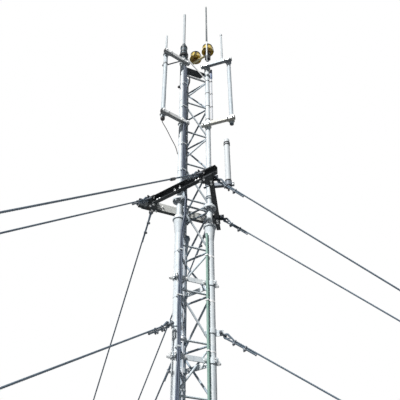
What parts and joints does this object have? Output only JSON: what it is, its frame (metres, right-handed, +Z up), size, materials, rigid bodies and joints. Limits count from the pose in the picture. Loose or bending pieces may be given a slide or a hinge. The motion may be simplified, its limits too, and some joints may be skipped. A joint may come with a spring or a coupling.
{
  "type": "radio mast",
  "caption": "Guyed three-sided lattice radio mast with a triangular torsion frame, stand-off arms, antenna poles, whips and twin amber beacons, with its guys and their ground anchors.",
  "frame": {"origin": "centre of the base plate underside, on the axis of the mast", "axes": "+Z up along the mast; the front face of the lattice looks along -Y; +X to the right of that face"},
  "size_m": [11.8902, 12.313, 9.655],
  "materials": {
    "galvanised_steel": "galvanised, satin",
    "dark_steel": "dark, weathered",
    "steel_strand": "stranded, dull",
    "white_plastic": "matt",
    "slate_plastic": "matt",
    "amber_plastic": "ribbed, glossy",
    "pale_yellow_paint": "faded",
    "dark_metal": "satin",
    "cable_rubber": "matt"
  },
  "bodies": {
    "root": {"anchor_left": "galvanised_steel", "anchor_rear": "galvanised_steel", "anchor_right": "galvanised_steel", "arm_left_lower": "galvanised_steel", "arm_left_upper": "galvanised_steel", "arm_right_lower": "galvanised_steel", "arm_right_upper": "galvanised_steel", "base_plate": "galvanised_steel", "beacon_bracket": "pale_yellow_paint", "beacon_inner": "amber_plastic", "beacon_outer": "amber_plastic", "beacon_stem": "dark_metal", "bracing_front_lower": "galvanised_steel", "bracing_front_middle": "galvanised_steel", "bracing_front_upper": "galvanised_steel", "bracing_left_lower": "galvanised_steel", "bracing_left_middle": "galvanised_steel", "bracing_left_upper": "galvanised_steel", "bracing_right_lower": "galvanised_steel", "bracing_right_middle": "galvanised_steel", "bracing_right_upper": "galvanised_steel", "clamp_frame_lower": "galvanised_steel", "clamp_frame_upper": "galvanised_steel", "frame_corner_plates": "dark_steel", "frame_u_bolts": "galvanised_steel", "guy_collars": "galvanised_steel", "guy_left_first": "steel_strand", "guy_left_low": "steel_strand", "guy_left_second": "steel_strand", "guy_rear_first": "steel_strand", "guy_rear_low": "steel_strand", "guy_rear_second": "steel_strand", "guy_right_first": "steel_strand", "guy_right_low": "steel_strand", "guy_right_second": "steel_strand", "head_plate": "dark_steel", "head_stay": "galvanised_steel", "leg_left_lower": "galvanised_steel", "leg_left_middle": "galvanised_steel", "leg_left_upper": "galvanised_steel", "leg_rear_lower": "galvanised_steel", "leg_rear_middle": "galvanised_steel", "leg_rear_upper": "galvanised_steel", "leg_right_lower": "galvanised_steel", "leg_right_middle": "galvanised_steel", "leg_right_upper": "galvanised_steel", "pole_left": "galvanised_steel", "pole_right": "galvanised_steel", "rod_aerial": "white_plastic", "rod_aerial_base": "slate_plastic", "torsion_beam_left": "dark_steel", "torsion_beam_rear": "dark_steel", "torsion_beam_right": "dark_steel", "tube_aerial": "white_plastic", "tube_aerial_bracket": "galvanised_steel", "whip_centre": "dark_metal", "whip_left": "white_plastic", "whip_right": "white_plastic"}
  },
  "joints": []
}
